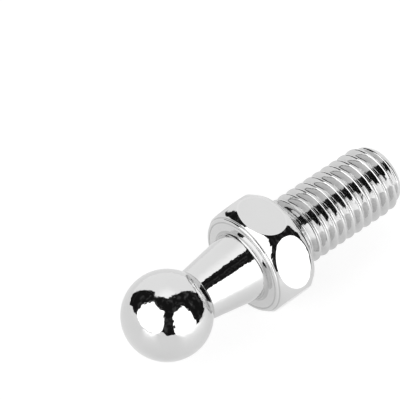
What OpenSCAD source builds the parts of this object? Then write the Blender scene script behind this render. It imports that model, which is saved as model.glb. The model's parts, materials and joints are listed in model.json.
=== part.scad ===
// Threaded ball stud: an M8 screw end, a hexagon collar and a ball on a tapered neck, turned as one piece.
// It lies along X on one flat of its hexagon, with the thread towards +X and the ball towards -X.
// The origin is on the axis, in the plane of the seat, the collar's face on the thread side.

/* [Thread] */
// Outer diameter of the thread
thread_d = 8; // [6:0.25:10]
// Length of the thread, from the seat to the tip
thread_l = 15; // [8:0.5:40]
// Diameter of the flat end of the tip
tip_d = 6; // [4:0.1:7]
// Length of the tip's chamfer along the axis
tip_l = 1.3; // [0.8:0.1:3]
// Radius of the edge of the tip
tip_round = 0.3; // [0.1:0.05:0.5]

/* [Collar] */
// Width of the hexagon across two opposite flats
hex_af = 12; // [11:0.25:13]
// Height of the collar, between its two faces
collar_h = 5.5; // [4.8:0.1:6.8]
// Diameter over the rounded ridge, between the flats
ridge_d = 13.5; // [13.1:0.1:14.2]
// Diameter of the collar's flat faces, up to the start of the bevels
face_d = 11.2; // [10.6:0.1:11.6]
// Angle between a bevel and the axis
bevel_angle = 35; // [28:1:36]
// Radius of the edge between a face and its bevel
face_round = 0.4; // [0.1:0.05:0.6]

/* [Neck] */
// Diameter of the neck at the collar
neck_root_d = 8; // [6.5:0.1:9]
// Diameter of the neck where it meets the ball
neck_top_d = 6; // [4:0.1:7]
// Radius of the fillet between the neck and the collar
root_fillet = 0.4; // [0.2:0.1:0.8]
// Radius of the fillet between the neck and the ball
ball_fillet = 0.4; // [0.2:0.1:1]

/* [Ball] */
// Diameter of the ball
ball_d = 10; // [8:0.5:12]
// Distance from the collar to the centre of the ball
ball_reach = 10.7; // [9:0.1:16]

/* [Hidden] */
$fn = 128;
// Straight pieces in each rounding of the section
arc_steps = 10;
// How deep the neck's fillet dips into the ball, so that the two overlap
sink = 0.02;

ball_r = ball_d / 2;
ball_centre = [0, -collar_h - ball_reach];

// The two bevels, drawn on, would meet in a sharp ridge: its rounding takes it down to ridge_d
sharp_ridge_r = face_d / 2 + collar_h / 2 * tan(bevel_angle);
ridge_round = (sharp_ridge_r - ridge_d / 2) / (1 / cos(bevel_angle) - 1);

// The neck is a cone from the collar to the bare ball, with its direction and its outward normal
neck_foot = [neck_root_d / 2, -collar_h];
neck_end = ball_centre + [neck_top_d / 2, sqrt(pow(ball_r, 2) - pow(neck_top_d / 2, 2))];
neck_way = unit(neck_end - neck_foot);
neck_out = [-neck_way.y, neck_way.x];

// The fillet touches both: its centre is one fillet radius off the cone and off the ball
fillet_reach = ball_r + ball_fillet;
fillet_line = neck_foot + neck_out * ball_fillet - ball_centre;
fillet_mid = fillet_line * neck_way;
fillet_run = sqrt(pow(fillet_mid, 2) - fillet_line * fillet_line + pow(fillet_reach, 2));
fillet_centre = ball_centre + fillet_line - neck_way * (fillet_mid + fillet_run);
fillet_start = fillet_centre - neck_out * ball_fillet;
fillet_end = ball_centre + unit(fillet_centre - ball_centre) * (ball_r - sink);

// Half section from the tip to the neck: each corner as [radius, place along the axis], and its rounding
corners = [
    [[0, thread_l], 0],
    [[tip_d / 2, thread_l], tip_round],
    [[thread_d / 2, thread_l - tip_l], 0],
    [[thread_d / 2, 0], 0],
    [[face_d / 2, 0], face_round],
    [[sharp_ridge_r, -collar_h / 2], ridge_round],
    [[face_d / 2, -collar_h], face_round],
    [neck_foot, root_fillet],
    [fillet_start, 0]
];

function unit(v) = v / norm(v);

// Points on the short arc around a centre
function arc(centre, first, last) =
    let (a = first - centre, b = last - centre, sweep = acos(unit(a) * unit(b)))
    [
        for (i = [0 : arc_steps])
            let (t = i / arc_steps)
            centre + (a * sin(sweep * (1 - t)) + b * sin(sweep * t)) / sin(sweep)
    ];

// A corner of a path, rounded to a radius where it has one
function rounded(before, corner, after, radius) =
    radius == 0 ? [corner] :
    let (
        back = unit(before - corner),
        on = unit(after - corner),
        half = acos(back * on) / 2,
        centre = corner + unit(back + on) * radius / sin(half)
    )
    arc(centre, corner + back * radius / tan(half), corner + on * radius / tan(half));

module section() {
    outline = [
        corners[0][0],
        for (i = [1 : len(corners) - 2])
            each rounded(corners[i - 1][0], corners[i][0], corners[i + 1][0], corners[i][1])
    ];
    fillet = arc(fillet_centre, fillet_start, fillet_end);
    polygon(concat(outline, fillet, [[0, fillet_end.y]]));
}

// What a hexagon bar leaves outside its flats, over the height of the collar
module outside_hexagon() {
    translate([0, 0, -collar_h])
        difference() {
            cylinder(d = 2 * ridge_d, h = collar_h);
            rotate([0, 0, 30])
                translate([0, 0, -1])
                    cylinder(d = hex_af / cos(30), h = collar_h + 2, $fn = 6);
        }
}

module ball_stud() {
    color("silver")
        rotate([0, 90, 0])
            difference() {
                union() {
                    rotate_extrude() section();
                    translate([0, 0, ball_centre.y]) sphere(d = ball_d);
                }
                outside_hexagon();
            }
}

ball_stud();
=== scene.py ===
import json
import math

import bpy
from mathutils import Matrix, Vector


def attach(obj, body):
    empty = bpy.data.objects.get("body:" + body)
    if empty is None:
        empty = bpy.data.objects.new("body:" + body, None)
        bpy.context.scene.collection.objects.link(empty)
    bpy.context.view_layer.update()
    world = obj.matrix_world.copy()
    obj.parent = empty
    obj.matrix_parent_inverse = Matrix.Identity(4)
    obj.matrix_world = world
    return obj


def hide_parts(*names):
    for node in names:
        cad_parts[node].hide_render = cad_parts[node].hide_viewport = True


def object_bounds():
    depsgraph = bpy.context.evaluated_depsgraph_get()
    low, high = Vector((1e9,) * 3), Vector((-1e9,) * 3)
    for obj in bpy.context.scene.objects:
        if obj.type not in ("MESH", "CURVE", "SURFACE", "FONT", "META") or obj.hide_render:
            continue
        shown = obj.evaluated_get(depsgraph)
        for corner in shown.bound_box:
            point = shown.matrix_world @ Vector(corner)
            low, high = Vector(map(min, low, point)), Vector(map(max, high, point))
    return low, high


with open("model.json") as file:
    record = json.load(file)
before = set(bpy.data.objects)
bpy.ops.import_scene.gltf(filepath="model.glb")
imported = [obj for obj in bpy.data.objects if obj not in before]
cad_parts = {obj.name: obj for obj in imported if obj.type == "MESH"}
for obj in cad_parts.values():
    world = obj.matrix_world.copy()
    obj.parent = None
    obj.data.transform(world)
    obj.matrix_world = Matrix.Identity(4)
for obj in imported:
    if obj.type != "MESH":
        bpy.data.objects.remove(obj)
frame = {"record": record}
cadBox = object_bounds()
mounts = {m["name"]: m for m in frame["record"]["mounts"]}
millimetre = 0.001
print("frame loaded, box in mm:", [[round(c / millimetre, 2) for c in corner] for corner in cadBox])


class Wire:  # a socket of a node tree, so that sums on it can be written as sums
    def __init__(self, tree, socket=None):
        self.tree = tree
        self.socket = socket

    def node(self, kind, settings=None, sockets=None, out=0):
        made = self.tree.nodes.new(kind)
        for name, value in (settings or {}).items():
            setattr(made, name, value)
        for key, value in (sockets or {}).items():
            if isinstance(value, Wire):
                self.tree.links.new(value.socket, made.inputs[key])
            else:
                made.inputs[key].default_value = value
        return Wire(self.tree, made.outputs[out] if made.outputs else None)

    def output(self, key):  # another output of the node that this socket is on
        return Wire(self.tree, self.socket.node.outputs[key])

    def math(self, operation, *others):
        return self.node("ShaderNodeMath", {"operation": operation}, dict(enumerate((self, *others))))

    def turned(self, operation, other):
        return self.node("ShaderNodeMath", {"operation": operation}, {0: other, 1: self})

    def split(self):
        parts = self.node("ShaderNodeSeparateXYZ", None, {0: self})
        return [parts.output(i) for i in range(3)]

    def along(self, direction):
        return self.node("ShaderNodeVectorMath", {"operation": "DOT_PRODUCT"}, {0: self, 1: direction},
                         out="Value")

    def rise(self, low, high):  # 0 below low, 1 above high, soft at both ends
        return self.node("ShaderNodeMapRange", {"interpolation_type": "SMOOTHSTEP"},
                         {"Value": self, "From Min": low, "From Max": high})

    def noise(self, scale, detail, roughness=0.5, dimensions="3D"):  # clouds at this place
        return self.node("ShaderNodeTexNoise", {"noise_dimensions": dimensions},
                         {"Vector": self, "Scale": scale, "Detail": detail, "Roughness": roughness})

    def grey(self):
        return self.node("ShaderNodeCombineColor", None, {0: self, 1: self, 2: self})

    def __add__(self, other):
        return self.math("ADD", other)

    def __sub__(self, other):
        return self.math("SUBTRACT", other)

    def __mul__(self, other):
        return self.math("MULTIPLY", other)

    def __truediv__(self, other):
        return self.math("DIVIDE", other)

    def __radd__(self, other):
        return self.turned("ADD", other)

    def __rsub__(self, other):
        return self.turned("SUBTRACT", other)

    def __rmul__(self, other):
        return self.turned("MULTIPLY", other)

    def __rtruediv__(self, other):
        return self.turned("DIVIDE", other)


def bareTree(owner):  # the emptied node tree of a material or a world
    owner.use_nodes = True
    owner.node_tree.nodes.clear()
    return Wire(owner.node_tree)


def place(name, data):
    made = bpy.data.objects.new(name, data)
    bpy.context.scene.collection.objects.link(made)
    return made


# the turned form in mm; what the mounts and the box give comes from the frame
stud = {
    "threadR": mounts["thread"]["dims"]["r_mm"],
    "threadL": cadBox[1].x / millimetre,
    "noseX": 12.8,
    "noseRound": 2.87,
    "noseTop": 4.03,
    "tipRound": 0.3,
    "flatHalf": -cadBox[0].z / millimetre,
    "collarH": -2 * mounts["lying_flat"]["pos_m"][0] / millimetre,
    "ridgeR": 6.75,
    "faceR": 5.6,
    "faceRound": 0.4,
    "lineWide": 0.2,
    "lineDeep": 0.065,
    "bevel": math.radians(35),
    "neckRootR": 4.0,
    "neckTopR": 3.0,
    "rootFillet": 0.4,
    "ballFillet": 0.2,
    "ballR": mounts["ball"]["dims"]["r_mm"],
    "ballX": mounts["ball"]["pos_m"][0] / millimetre,
    "weld": 0.0005,
}

# how many steps each stretch of the turned section has
fineness = {
    "ball": 60,
    "ballFillet": 10,
    "neck": 8,
    "rootFillet": 9,
    "face": 3,
    "line": 4,
    "rim": 9,
    "seat": 4,
    "seatFillet": 6,
    "nose": 2,
    "tipEdge": 8,
    "tip": 6,
}

# the rolled thread in mm, with its run-out at the seat and its end on the tip
thread = {
    "pitch": 1.25,
    "crestHalf": 0.075,
    "depth": 0.76,
    "crestSoft": 0.05,
    "rootSoft": 0.14,
    "blankR": 3.7,
    "seatFillet": 0.25,
    "startX": 0.3,
    "runOut": 1.5,
    "scoreDeep": 0.03,
    "scoresPerTurn": 3,
    "endX": 14.6,
    "runIn": 0.7,
    "tipSoft": 0.04,
    "phase": 0.52,
    "rowsPerTurn": 22,
    "crowding": 0.6,
}

# how finely the collar is divided, and the softness of its edges in mm
collar = {
    "flatColumns": 28,
    "stripColumns": 6,
    "flatRows": 7,
    "bevelRows": 8,
    "edgeSoft": 0.045,
    "ovalEnd": 0.1,
}


def arcPoints(centre, first, last, steps):
    a, b = first - centre, last - centre
    sweep = a.angle(b)
    points = []
    for i in range(steps + 1):
        fromFirst, fromLast = sweep * i / steps, sweep * (1 - i / steps)
        points.append(centre + (a * math.sin(fromLast) + b * math.sin(fromFirst)) / math.sin(sweep))
    return points


def roundedCorner(before, corner, after, radius, steps):
    back, on = (before - corner).normalized(), (after - corner).normalized()
    half = back.angle(on) / 2
    centre = corner + (back + on).normalized() * radius / math.sin(half)
    reach = radius / math.tan(half)
    return arcPoints(centre, corner + back * reach, corner + on * reach, steps)


def between(first, last, steps):  # the points between two others, without these
    return [first.lerp(last, i / steps) for i in range(1, steps)]


def acrossCollar(points):  # the same points on the other side of the collar
    return [Vector((-stud["collarH"] - p.x, p.y)) for p in points]


def nosePoint(x):  # on the rounded chamfer of the tip, with its slope there
    away = x - stud["noseX"]
    rise = math.sqrt(stud["noseRound"] ** 2 - away ** 2)
    return Vector((x, stud["noseTop"] - stud["noseRound"] + rise)), away / rise


def turnedLine(start, end, inward):  # a fine line, cut between two points of the section
    points = []
    for i in range(fineness["line"] + 1):
        part = i / fineness["line"]
        deep = stud["lineDeep"] * (1 - math.cos(2 * math.pi * part)) / 2
        points.append(start.lerp(end, part) + inward * deep)
    return points


def turnedSection():
    ballCentre = Vector((stud["ballX"], 0))
    foot = Vector((-stud["collarH"], stud["neckRootR"]))
    neckEnd = ballCentre + Vector((math.sqrt(stud["ballR"] ** 2 - stud["neckTopR"] ** 2), stud["neckTopR"]))
    way = (neckEnd - foot).normalized()
    out = Vector((way.y, -way.x))
    line = foot + out * stud["ballFillet"] - ballCentre  # the fillet touches both the cone and the ball
    middle = line.dot(way)
    run = math.sqrt(middle ** 2 - line.length_squared + (stud["ballR"] + stud["ballFillet"]) ** 2)
    filletCentre = ballCentre + line - way * (middle + run)
    onBall = ballCentre + (filletCentre - ballCentre).normalized() * stud["ballR"]
    onNeck = filletCentre - out * stud["ballFillet"]
    sweep = math.atan2(onBall.y, ballCentre.x - onBall.x)
    angles = [sweep * i / fineness["ball"] for i in range(fineness["ball"])]
    ball = [ballCentre + Vector((-math.cos(a), math.sin(a))) * stud["ballR"] for a in angles]

    middleX = -stud["collarH"] / 2
    sharpRidge = Vector((middleX, stud["faceR"] - middleX * math.tan(stud["bevel"])))
    faceEdge = Vector((-stud["collarH"], stud["faceR"]))
    rootArc = roundedCorner(onNeck, foot, faceEdge, stud["rootFillet"], fineness["rootFillet"])
    rim = roundedCorner(foot, faceEdge, sharpRidge, stud["faceRound"], fineness["rim"])
    onBevel = (sharpRidge - faceEdge).normalized()
    lineStart = rim[0] - Vector((0, stud["lineWide"]))
    lineEnd = rim[-1] + onBevel * stud["lineWide"]
    faceLine = turnedLine(lineStart, rim[0], Vector((1, 0)))[:-1]
    bevelLine = turnedLine(rim[-1], lineEnd, Vector((onBevel.y, -onBevel.x)))[1:]
    edgeArc = faceLine + rim + bevelLine
    neckArc = arcPoints(filletCentre, onBall, onNeck, fineness["ballFillet"])
    ballSide = ball + neckArc + between(onNeck, rootArc[0], fineness["neck"])
    ballSide += rootArc + between(rootArc[-1], edgeArc[0], fineness["face"]) + edgeArc

    backArc = acrossCollar(reversed(edgeArc))
    start = Vector((thread["startX"], thread["blankR"]))
    seatCorner = Vector((0, thread["blankR"]))
    seatArc = roundedCorner(backArc[-1], seatCorner, start, thread["seatFillet"], fineness["seatFillet"])
    seatSide = backArc + between(backArc[-1], seatArc[0], fineness["seat"]) + seatArc + [start]

    tipCentre = Vector((stud["threadL"], 0))
    noseEnd, slope = nosePoint(thread["endX"])
    tipEdge = Vector((stud["threadL"], noseEnd.y - slope * (stud["threadL"] - noseEnd.x)))
    tipArc = roundedCorner(noseEnd, tipEdge, tipCentre, stud["tipRound"], fineness["tipEdge"])
    tip = [noseEnd] + between(noseEnd, tipArc[0], fineness["nose"]) + tipArc
    tip += between(tipArc[-1], tipCentre, fineness["tip"]) + [tipCentre]

    lines = faceLine[1:] + bevelLine[:-1]
    # the points that get painted shade and rougher plating in the chrome: the fillets, the seat and the
    # fine lines
    corners = neckArc[2:-2] + rootArc[1:-1] + seatArc + lines + acrossCollar(lines)
    return ballSide, seatSide, tip, corners, middleX - edgeArc[-1].x


def makeStud(material):
    ballSide, seatSide, tip, corners, bevelEnd = turnedSection()
    points = ballSide + seatSide + tip
    marks = [1.0 if p in corners else 0.0 for p in points]  # inner corners, fillets and fine lines, kept as y of the section; the chrome paints shade into them
    section = bpy.data.meshes.new("halfSection")
    section.from_pydata([(p.x, mark, p.y) for p, mark in zip(points, marks)], [], [])
    rule = place("studRule", section)

    bevelSlope = math.tan(stud["bevel"])
    sharpRidge = stud["faceR"] + stud["collarH"] / 2 * bevelSlope
    ridgeRound = (sharpRidge - stud["ridgeR"]) / (1 / math.cos(stud["bevel"]) - 1)
    ridgeCentre = stud["ridgeR"] - ridgeRound
    ovalReach = ridgeCentre + math.sqrt(ridgeRound ** 2 - collar["ovalEnd"] ** 2)
    turns = math.ceil((thread["endX"] - thread["startX"]) / thread["pitch"]) + 1
    given = {
        "Section Rows": len(points),
        "First Break": len(ballSide) - 1,
        "Second Break": len(ballSide) + len(seatSide) - 1,
        "Thread Rows": turns * thread["rowsPerTurn"] + 1,
        "Flat Half": stud["flatHalf"],
        "Oval Half Angle": math.acos(stud["flatHalf"] / ovalReach),
        "Oval End": collar["ovalEnd"],
        "Collar Middle": -stud["collarH"] / 2,
        "Ridge Centre": ridgeCentre,
        "Ridge Round": ridgeRound,
        "Ridge End": ridgeRound * math.sin(stud["bevel"]),
        "Ridge End Radius": ridgeCentre + ridgeRound * math.cos(stud["bevel"]),
        "Bevel Slope": bevelSlope,
        "Bevel End": bevelEnd,
        "Edge Soft": collar["edgeSoft"],
        "Thread Radius": stud["threadR"],
        "Thread Start": thread["startX"],
        "Thread End": thread["endX"],
        "Pitch": thread["pitch"],
        "Phase": thread["phase"],
        "Depth": thread["depth"],
        "Crest Half": thread["crestHalf"],
        "Crest Soft": thread["crestSoft"],
        "Root Soft": thread["rootSoft"],
        "Blank Radius": thread["blankR"],
        "Run Out": thread["runOut"],
        "Run In": thread["runIn"],
        "Score Deep": thread["scoreDeep"],
        "Scores Per Turn": thread["scoresPerTurn"],
        "Nose Start": stud["noseX"],
        "Nose Round": stud["noseRound"],
        "Nose Top": stud["noseTop"],
        "Tip Soft": thread["tipSoft"],
    }
    tree = bpy.data.node_groups.new("turnedStud", "GeometryNodeTree")
    tree.interface.new_socket("Geometry", in_out="OUTPUT", socket_type="NodeSocketGeometry")
    tree.interface.new_socket("Geometry", in_out="INPUT", socket_type="NodeSocketGeometry")
    kinds = {name: "NodeSocketInt" if isinstance(value, int) else "NodeSocketFloat"
             for name, value in given.items()}
    kinds["Material"] = "NodeSocketMaterial"
    keys = {name: tree.interface.new_socket(name, in_out="INPUT", socket_type=kind).identifier
            for name, kind in kinds.items()}
    source = Wire(tree).node("NodeGroupInput")
    put = {name: source.output(name) for name in keys}

    # all grids share these columns, which lie closer together at the ends of the flats
    flatColumns, stripColumns = collar["flatColumns"], collar["stripColumns"]
    perFlat = flatColumns + stripColumns
    columns = 6 * perFlat + 1
    index = source.node("GeometryNodeInputIndex")
    row = ((index + 0.5) / columns).math("FLOOR")
    column = index - row * columns
    sixth = ((column + 0.5) / perFlat).math("FLOOR")
    spot = column - sixth * perFlat
    onFlat = ((spot / flatColumns).math("MINIMUM", 1) - 0.5) * math.pi
    onStrip = ((spot - flatColumns) / stripColumns).math("MAXIMUM", 0) * math.pi
    strip = math.pi / 3 - 2 * put["Oval Half Angle"]
    local = put["Oval Half Angle"] * onFlat.math("SINE") + strip * (1 - onStrip.math("COSINE")) / 2
    angle = sixth * (math.pi / 3) + local
    sine, cosine = angle.math("SINE"), angle.math("COSINE")

    def spunGrid(rows, x, radius):
        grid = source.node("GeometryNodeMeshGrid", None, {"Vertices X": rows, "Vertices Y": columns})
        turnedTo = source.node("ShaderNodeCombineXYZ", None, {0: x, 1: radius * sine, 2: radius * cosine})
        return source.node("GeometryNodeSetPosition", None, {"Geometry": grid, "Position": turnedTo})

    def marked(mesh, name, value):
        return source.node("GeometryNodeStoreNamedAttribute", {"data_type": "FLOAT", "domain": "POINT"},
                           {"Geometry": mesh, "Name": name, "Value": value})

    # ball, neck, faces and tip are turned from the half section, which leaves out the barrel and the thread
    here = source.node("GeometryNodeInputPosition")
    sectionSpot = source.node("GeometryNodeSampleIndex", {"data_type": "FLOAT_VECTOR", "domain": "POINT"},
                              {"Geometry": source.output("Geometry"), "Value": here, "Index": row})
    x, cornerShadeMark, radius = sectionSpot.split()
    faceRow = ((index + 0.5) / (columns - 1)).math("FLOOR")
    toFirst = (faceRow - put["First Break"]).math("ABSOLUTE")
    toSecond = (faceRow - put["Second Break"]).math("ABSOLUTE")
    turned = source.node("GeometryNodeDeleteGeometry", {"domain": "FACE"},
                         {"Geometry": spunGrid(put["Section Rows"], x, radius),
                          "Selection": toFirst.math("MINIMUM", toSecond).math("LESS_THAN", 0.5)})
    # the corner mark carries painted shade and rougher plating into the chrome
    turned = marked(turned, "corner", cornerShadeMark)

    # the collar's rows follow the ovals that the flats cut into its double cone
    flatRows, bevelRows = collar["flatRows"], collar["bevelRows"]
    fromMiddle = row - (flatRows + bevelRows)
    count = fromMiddle.math("ABSOLUTE")
    fromFlat = math.pi / 6 - (math.pi / 6 - local.math("ABSOLUTE")).math("ABSOLUTE")
    flatRadius = put["Flat Half"] / fromFlat.math("COSINE")
    overRidge = flatRadius.math("MAXIMUM", put["Ridge End Radius"]) - put["Ridge Centre"]
    ridgeSquare = put["Ridge Round"] * put["Ridge Round"]
    endSquare = put["Oval End"] * put["Oval End"]
    arcPart = (ridgeSquare - overRidge * overRidge).math("MAXIMUM", endSquare).math("SQRT")
    conePart = (put["Ridge End Radius"] - flatRadius).math("MAXIMUM", 0) / put["Bevel Slope"]
    oval = arcPart + conePart
    inFlat = ((count / flatRows).math("MINIMUM", 1) * (math.pi / 2)).math("SINE")
    inBevel = 1 - (((count - flatRows) / bevelRows).math("MAXIMUM", 0) * (math.pi / 2)).math("COSINE")
    away = oval * inFlat + (put["Bevel End"] - oval) * inBevel
    onArc = away.math("MINIMUM", put["Ridge End"])
    turnedRadius = put["Ridge Centre"] + (ridgeSquare - onArc * onArc).math("SQRT")
    turnedRadius = turnedRadius - (away - put["Ridge End"]).math("MAXIMUM", 0) * put["Bevel Slope"]
    barrelX = put["Collar Middle"] + away * fromMiddle.math("SIGN")
    barrelRadius = turnedRadius.math("SMOOTH_MIN", flatRadius, put["Edge Soft"])
    barrel = spunGrid(2 * (flatRows + bevelRows) + 1, barrelX, barrelRadius)
    # painted highlight: the flats' edges are marked so that the chrome is lighter in colour along them
    edgeHighlightMask = 1 - ((turnedRadius - flatRadius).math("ABSOLUTE") / put["Edge Soft"] / 2).math("MINIMUM", 1)
    barrel = marked(barrel, "edge", edgeHighlightMask)
    barrel = marked(barrel, "flat", ((turnedRadius - flatRadius) / put["Edge Soft"] / 2).rise(0, 1))

    # the thread's rows climb one pitch a turn, right-handed, crowd at crest and root, and end level
    once = (angle + put["Oval Half Angle"]) / (2 * math.pi)
    step = row / thread["rowsPerTurn"] + put["Phase"]
    crowded = step - (step * (4 * math.pi)).math("SINE") * (thread["crowding"] / (4 * math.pi))
    climb = put["Thread Start"] + (crowded - once - put["Phase"]) * put["Pitch"]
    along = climb.math("MAXIMUM", put["Thread Start"]).math("MINIMUM", put["Thread End"])
    turn = (along - put["Thread Start"]) / put["Pitch"] + once + put["Phase"]
    fromCrest = (turn - (turn + 0.5).math("FLOOR")).math("ABSOLUTE") * put["Pitch"]
    cut = (fromCrest - put["Crest Half"]) * math.sqrt(3)  # flanks at 60 degrees to each other
    cut = cut.math("SMOOTH_MAX", 0, put["Crest Soft"]).math("SMOOTH_MIN", put["Depth"], put["Root Soft"])
    cut = cut * (1 - along.rise(put["Thread End"] - put["Run In"], put["Thread End"]))
    formed = along.rise(put["Thread Start"], put["Thread Start"] + put["Run Out"])
    ripple = (turn * put["Scores Per Turn"] * (2 * math.pi)).math("SINE") * put["Score Deep"]
    scored = ripple * formed * (1 - formed) * 4  # deepest halfway along the run-out
    grown = put["Thread Radius"] - cut - put["Blank Radius"]
    threadRadius = put["Blank Radius"] + scored + grown * formed
    onNose = (along - put["Nose Start"]).math("MAXIMUM", 0)
    noseArc = (put["Nose Round"] * put["Nose Round"] - onNose * onNose).math("SQRT")
    nose = put["Nose Top"] - put["Nose Round"] + noseArc
    crestRadius = nose.math("SMOOTH_MIN", put["Thread Radius"], put["Tip Soft"])
    threadRadius = threadRadius - (put["Thread Radius"] - crestRadius)  # the thread follows the rounded tip
    # the groove mark is the thread's depth; the chrome paints shade and rougher plating into it
    screw = marked(spunGrid(put["Thread Rows"], along, threadRadius), "groove", cut / put["Depth"] * formed)

    joined = source.node("GeometryNodeJoinGeometry")
    for part in (turned, barrel, screw):
        tree.links.new(part.socket, joined.socket.node.inputs[0])
    merged = source.node("GeometryNodeMergeByDistance", None,
                         {"Geometry": joined, "Distance": stud["weld"]})
    scaled = source.node("GeometryNodeTransform", None, {"Geometry": merged, "Scale": (millimetre,) * 3})
    smooth = source.node("GeometryNodeSetShadeSmooth", None, {"Geometry": scaled})
    real = source.node("GeometryNodeRealizeInstances", None, {"Geometry": smooth})
    coated = source.node("GeometryNodeSetMaterial", None, {"Geometry": real, "Material": put["Material"]})
    source.node("NodeGroupOutput", None, {0: coated})

    modifier = rule.modifiers.new("turnedStud", "NODES")
    modifier.node_group = tree
    for name, value in given.items():
        modifier[keys[name]] = value
    modifier[keys["Material"]] = material
    graph = bpy.context.evaluated_depsgraph_get()
    mesh = bpy.data.meshes.new_from_object(rule.evaluated_get(graph), depsgraph=graph)
    rule.modifiers.remove(modifier)
    bpy.data.objects.remove(rule)
    bpy.data.meshes.remove(section)
    mesh.name = "chromeStud"
    print("stud turned:", len(mesh.vertices), "points,", len(mesh.polygons), "faces")
    return place("chromeStud", mesh)


# bright chrome over turned steel: its tones, with painted shade in the thread's grooves and inner corners
# and a painted highlight along the flats' edges, its gloss, and the scale per metre and height in m of its
# marks
plate = {
    "tone": 0.66,
    "grooveTone": 0.6,
    "cornerTone": 0.5,
    "edgeTone": 0.04,
    "gloss": 0.045,
    "grooveGloss": 0.1,
    "cornerGloss": 0.16,
    "grooveFrom": 0.15,
    "hazeScale": 150,
    "hazeDetail": 4.0,
    "hazeRough": 0.6,
    "hazeTone": 0.05,
    "hazeFrom": 0.45,
    "hazeTo": 0.8,
    "hazeGloss": 0.03,
    "mottleScale": 1800,
    "mottleDetail": 3.0,
    "mottle": 0.3,
    "peelScale": 1000,
    "peelDetail": 2.0,
    "peelHeight": 0.000035,
    "flatCalm": 0.88,
    "ringScale": 9000,
    "ringDetail": 1.0,
    "ringHeight": 0.0000004,
}


def chromePlate():
    material = bpy.data.materials.new("chromePlate")
    start = bareTree(material)
    spot = start.node("ShaderNodeTexCoord", out="Object")
    x, y, z = spot.split()
    radius = (y * y + z * z).math("SQRT")
    ringSpot = start.node("ShaderNodeCombineXYZ", None, {0: x, 1: radius, 2: 0.0})
    rings = ringSpot.noise(plate["ringScale"], plate["ringDetail"], dimensions="2D")
    peel = spot.noise(plate["peelScale"], plate["peelDetail"])
    haze = spot.noise(plate["hazeScale"], plate["hazeDetail"], plate["hazeRough"])
    mottle = spot.noise(plate["mottleScale"], plate["mottleDetail"])
    groove, edge, corner, flat = [start.node("ShaderNodeAttribute", {"attribute_name": name}, out="Fac")
                                  for name in ("groove", "edge", "corner", "flat")]

    shadedGroove = groove.rise(plate["grooveFrom"], 1.0)
    # random haze in the tone, and a painted highlight along the edges of the flats
    tone = plate["tone"] + (haze - 0.5) * plate["hazeTone"] + edge * plate["edgeTone"]
    # painted shade: the thread's flanks and roots are darker in colour than its crests
    tone = tone - shadedGroove * (plate["tone"] - plate["grooveTone"])
    # painted shade: the inner corners, fillets and fine turned lines are darker in colour
    tone = tone - corner * (plate["tone"] - plate["cornerTone"])
    tone = tone + (mottle - 0.5) * shadedGroove * plate["mottle"]
    gloss = plate["gloss"] + haze.rise(plate["hazeFrom"], plate["hazeTo"]) * plate["hazeGloss"]
    gloss = gloss + shadedGroove * (plate["grooveGloss"] - plate["gloss"])
    gloss = gloss + corner * (plate["cornerGloss"] - plate["gloss"])
    pressed = (peel - 0.5) * (1 - flat * plate["flatCalm"])
    peelBump = start.node("ShaderNodeBump", None,
                          {"Strength": 1.0, "Distance": plate["peelHeight"], "Height": pressed})
    ringBump = start.node("ShaderNodeBump", None,
                          {"Strength": 1.0, "Distance": plate["ringHeight"], "Height": rings,
                           "Normal": peelBump})
    shader = start.node("ShaderNodeBsdfPrincipled", None,
                        {"Base Color": tone.grey(), "Metallic": 1.0, "Roughness": gloss,
                         "Normal": ringBump})
    start.node("ShaderNodeOutputMaterial", None, {"Surface": shader})
    print("chrome plate mixed")
    return material


chrome = chromePlate()
piece = makeStud(chrome)
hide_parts("ball_stud")
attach(piece, "root")

# the camera: its turn and tilt, its distance to the collar in m, and the collar's place in the image
view = {
    "azimuth": math.radians(-41.9),
    "elevation": math.radians(47.95),
    "roll": math.radians(0.55),
    "distance": 0.5,
    "pixelsPerMetre": 9278,
    "collarPixel": (260.9, 253.1),
    "imageSide": 400,
    "sensorWide": 36,
    "nearest": 0.01,
}


def placeCamera():
    a, e = view["azimuth"], view["elevation"]
    level = Vector((math.cos(a), math.sin(a), 0))
    look = Vector((-math.sin(a) * math.cos(e), math.cos(a) * math.cos(e), -math.sin(e)))
    right = level * math.cos(view["roll"]) + level.cross(look) * math.sin(view["roll"])
    up = right.cross(look)
    half = view["imageSide"] / 2
    across = (view["collarPixel"][0] - half) / view["pixelsPerMetre"]
    down = (view["collarPixel"][1] - half) / view["pixelsPerMetre"]
    middle = Vector((-stud["collarH"] / 2 * millimetre, 0, 0))
    data = bpy.data.cameras.new("camera")
    data.sensor_width = view["sensorWide"]
    data.lens = view["pixelsPerMetre"] * view["distance"] / view["imageSide"] * data.sensor_width
    data.clip_start = view["nearest"]
    camera = place("camera", data)
    spot = middle - look * view["distance"] - right * across + up * down
    camera.matrix_world = Matrix.Translation(spot) @ Matrix((right, up, -look)).transposed().to_4x4()
    bpy.context.scene.camera = camera
    print("camera placed, lens", round(data.lens), "mm")
    return level, Vector((look.x, look.y, 0)).normalized()


cameraRight, cameraAhead = placeCamera()

# the studio, in degrees: bearings from the camera's heading, positive to its right, and heights
studio = {
    "dark": 0.01,
    "clutter": 0.08,
    "clutterScale": 5.0,
    "clutterDetail": 3.0,
    "clutterFrom": 0.5,
    "clutterTo": 0.8,
    "overhead": 0.22,
    "overheadFrom": 50,
    "overheadTo": 82,
    "panels": {  # bearing and half width, height and half height, brightness, squareness, softness
        "backdrop": (1, 50, 30, 57, 1.08, 8, 0.25),
        "topPanel": (-8, 60, 69, 14, 1.08, 3, 0.2),
        "leftPanel": (-131, 40.5, 33, 29, 2.0, 5, 0.2),
        "leftFoot": (-140, 26, 11, 11, 2.0, 5, 0.25),
        "rightPanel": (133.5, 28, 23, 30, 2.0, 5, 0.12),
        "leftApron": (-124, 58, -40, 46, 1.0, 8, 0.1),
        "rightApron": (143, 39, -45, 46, 1.0, 8, 0.1),
    },
}


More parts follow.
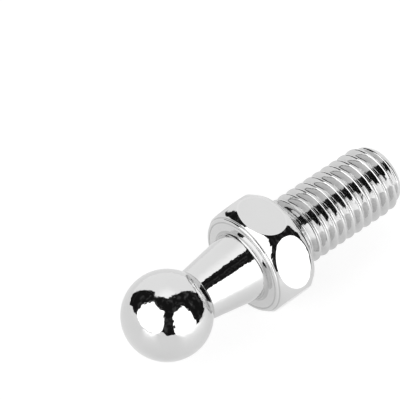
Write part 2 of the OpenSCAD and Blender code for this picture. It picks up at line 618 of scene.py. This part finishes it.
def lightRoom():
    world = bpy.data.worlds.new("studio")
    bpy.context.scene.world = world
    start = bareTree(world)
    way = start.node("ShaderNodeTexCoord", out="Generated")
    degrees = 180 / math.pi
    toSide = way.along(cameraRight).math("ARCTAN2", way.along(cameraAhead)) * degrees
    height = way.split()[2].math("ARCSINE") * degrees
    overhead = 1 + height.rise(studio["overheadFrom"], studio["overheadTo"]) * studio["overhead"]
    clutter = way.noise(studio["clutterScale"], studio["clutterDetail"])
    level = studio["dark"] + clutter.rise(studio["clutterFrom"], studio["clutterTo"]) * studio["clutter"]
    for side, halfWide, lift, halfHigh, glow, square, soft in studio["panels"].values():
        across = ((toSide - side).math("ABSOLUTE") / halfWide).math("POWER", square)
        upward = ((height - lift).math("ABSOLUTE") / halfHigh).math("POWER", square)
        inside = 1 - (across + upward).rise(1 - soft, 1 + soft)
        level = (inside * overhead * glow).math("MAXIMUM", level)
    seen = start.node("ShaderNodeLightPath", out="Is Camera Ray")
    shade = seen + (1 - seen) * level  # the camera itself sees plain white
    ground = start.node("ShaderNodeBackground", None, {"Color": shade.grey(), "Strength": 1.0})
    start.node("ShaderNodeOutputWorld", None, {"Surface": ground})
    print("studio lit by", len(studio["panels"]), "panels")


# the pale floor in m: its reach, its own light, and a painted glow that stands in for the side panels'
# light pooled on it, seen only in mirrors
sheet = {
    "left": 0.13,
    "right": 0.095,
    "reach": 0.6,
    "colour": (0.9, 0.9, 0.9, 1),
    "white": (1, 1, 1, 1),
    "level": 1.15,
    "seenShare": 0.74,
    "mirrorShare": 0.5,
    "gleam": 2.0,
    "gleamShare": 0.7,
    "gleamReach": 0.075,
    "gleamAside": 2.6,
    "gleamLean": 0.15,
    "gleamHalfX": 0.018,
    "gleamHalfY": 0.004,
}


def layFloor():
    low, reach = Vector((0, 0, cadBox[0].z)), cameraAhead * sheet["reach"]
    left, right = low - cameraRight * sheet["left"], low + cameraRight * sheet["right"]
    mesh = bpy.data.meshes.new("floor")
    mesh.from_pydata([left - reach, right - reach, right + reach, left + reach], [], [(0, 1, 2, 3)])
    floor = place("floor", mesh)
    material = bpy.data.materials.new("paleFloor")
    start = bareTree(material)
    seen = start.node("ShaderNodeLightPath", out="Is Camera Ray")
    mirrored = seen.output("Is Glossy Ray")
    x, y, _ = start.node("ShaderNodeTexCoord", out="Object").split()
    # painted light: a glowing patch on the floor beside the stud, seen only in mirrors, stands in for the
    # pool of the side panels' light
    fromAxis = (y - x * sheet["gleamLean"]).math("ABSOLUTE")
    asideY = (fromAxis - sheet["gleamHalfY"]).math("MAXIMUM", 0) * sheet["gleamAside"]
    asideX = (x.math("ABSOLUTE") - sheet["gleamHalfX"]).math("MAXIMUM", 0) * sheet["gleamAside"]
    toLeft = (cadBox[0].x - x - asideY).rise(0, sheet["gleamReach"])
    toRight = (0 - y - asideX).rise(0, sheet["gleamReach"])
    paintedGleam = mirrored * toLeft.math("MAXIMUM", toRight) * sheet["gleamShare"]
    pale = seen * sheet["seenShare"] + mirrored * sheet["mirrorShare"]
    matt = start.node("ShaderNodeBsdfDiffuse", None, {"Color": sheet["colour"]})
    white = start.node("ShaderNodeEmission", None, {"Color": sheet["white"], "Strength": sheet["level"]})
    gleam = start.node("ShaderNodeEmission", None, {"Color": sheet["white"], "Strength": sheet["gleam"]})
    paper = start.node("ShaderNodeMixShader", None, {0: pale, 1: matt, 2: white})
    lit = start.node("ShaderNodeMixShader", None, {0: paintedGleam, 1: paper, 2: gleam})
    start.node("ShaderNodeOutputMaterial", None, {"Surface": lit})
    mesh.materials.append(material)
    print("floor laid")


lightRoom()
layFloor()
bpy.context.scene.view_settings.view_transform = "Standard"
